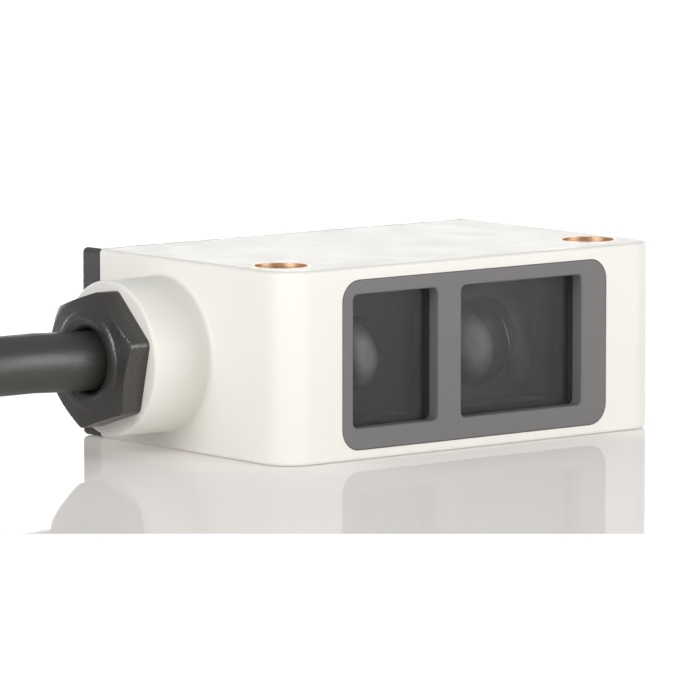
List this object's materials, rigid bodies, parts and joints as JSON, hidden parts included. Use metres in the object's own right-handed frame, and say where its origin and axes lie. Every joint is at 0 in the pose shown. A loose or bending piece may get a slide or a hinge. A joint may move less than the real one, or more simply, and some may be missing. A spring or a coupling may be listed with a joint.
{
  "type": "photoelectric sensor",
  "caption": "Compact rectangular photoelectric sensor with two smoked optical windows, side screw holes, a hexagonal cable gland and a pre-wired cable.",
  "frame": {"origin": "midway between the axes of the two mounting holes, on the lower broad mounting face", "axes": "+X along the windows away from the cable gland, -Y the way the windows look, +Z through the mounting holes, away from the face that the sensor lies on"},
  "size_m": [0.163, 0.0566, 0.0166],
  "materials": {
    "white_housing": "smooth moulded polyester",
    "grey_frame": "fine moulded grain",
    "smoked_panel": "smoked acrylic",
    "black_optics": "light-absorbing black",
    "clear_lens": "polished moulded acrylic",
    "led_package": "clear epoxy",
    "chip_black": "moulded epoxy",
    "tinned_can": "tinned sheet",
    "circuit_board": "solder mask",
    "board_parts": "ceramic",
    "core_brown": "extruded insulation",
    "core_white": "extruded insulation",
    "core_blue": "extruded insulation",
    "core_black": "extruded insulation",
    "sleeve_metal": "turned, bronze-coloured",
    "dark_cover": "fine moulded grain",
    "seal_rubber": "moulded rubber",
    "green_pipe": "clear tinted",
    "amber_pipe": "clear tinted",
    "trimmer_blue": "moulded",
    "black_gland": "moulded polyamide",
    "washer_plastic": "natural nylon",
    "cable_jacket": "extruded PVC",
    "tie_nylon": "natural nylon",
    "tinned_copper": "tinned strands",
    "adjuster_white": "moulded"
  },
  "bodies": {
    "sensor": {"housing": "white_housing", "front_frame": "grey_frame", "emitter_window": "smoked_panel", "receiver_window": "smoked_panel", "optics_holder": "black_optics", "emitter_lens": "clear_lens", "receiver_lens": "clear_lens", "emitter_led": "led_package", "receiver_photodiode": "chip_black", "shield_can": "tinned_can", "main_board": "circuit_board", "signal_chip": "chip_black", "board_components": "board_parts", "indicator_leds": "led_package", "lead_brown": "core_brown", "lead_white": "core_white", "lead_blue": "core_blue", "lead_black": "core_black", "mounting_sleeve_left": "sleeve_metal", "mounting_sleeve_right": "sleeve_metal", "rear_cover": "dark_cover", "cover_gasket": "seal_rubber", "power_light_pipe": "green_pipe", "output_light_pipe": "amber_pipe", "sensitivity_trimmer": "trimmer_blue", "selector_switch": "chip_black", "adjuster_seals": "seal_rubber", "gland_nut": "black_gland", "gland_washer": "washer_plastic", "gland_seal": "seal_rubber", "cable": "cable_jacket", "cable_coil": "cable_jacket", "cable_tail": "cable_jacket", "coil_ties": "tie_nylon", "core_brown": "core_brown", "core_white": "core_white", "core_blue": "core_blue", "core_black": "core_black", "core_ends": "tinned_copper"},
    "sensitivity_adjuster": {"sensitivity_adjuster": "adjuster_white"},
    "mode_selector": {"mode_selector": "adjuster_white"}
  },
  "joints": [
    {"name": "sensitivity_turn", "type": "hinge", "parent": "sensor", "child": "sensitivity_adjuster", "pos_m": [0.0045, 0.0219, 0.008], "axis": [0, 1, 0], "range_deg": [-120, 120]},
    {"name": "mode_turn", "type": "hinge", "parent": "sensor", "child": "mode_selector", "pos_m": [0.0125, 0.0219, 0.008], "axis": [0, 1, 0], "range_deg": [0, 90]}
  ]
}
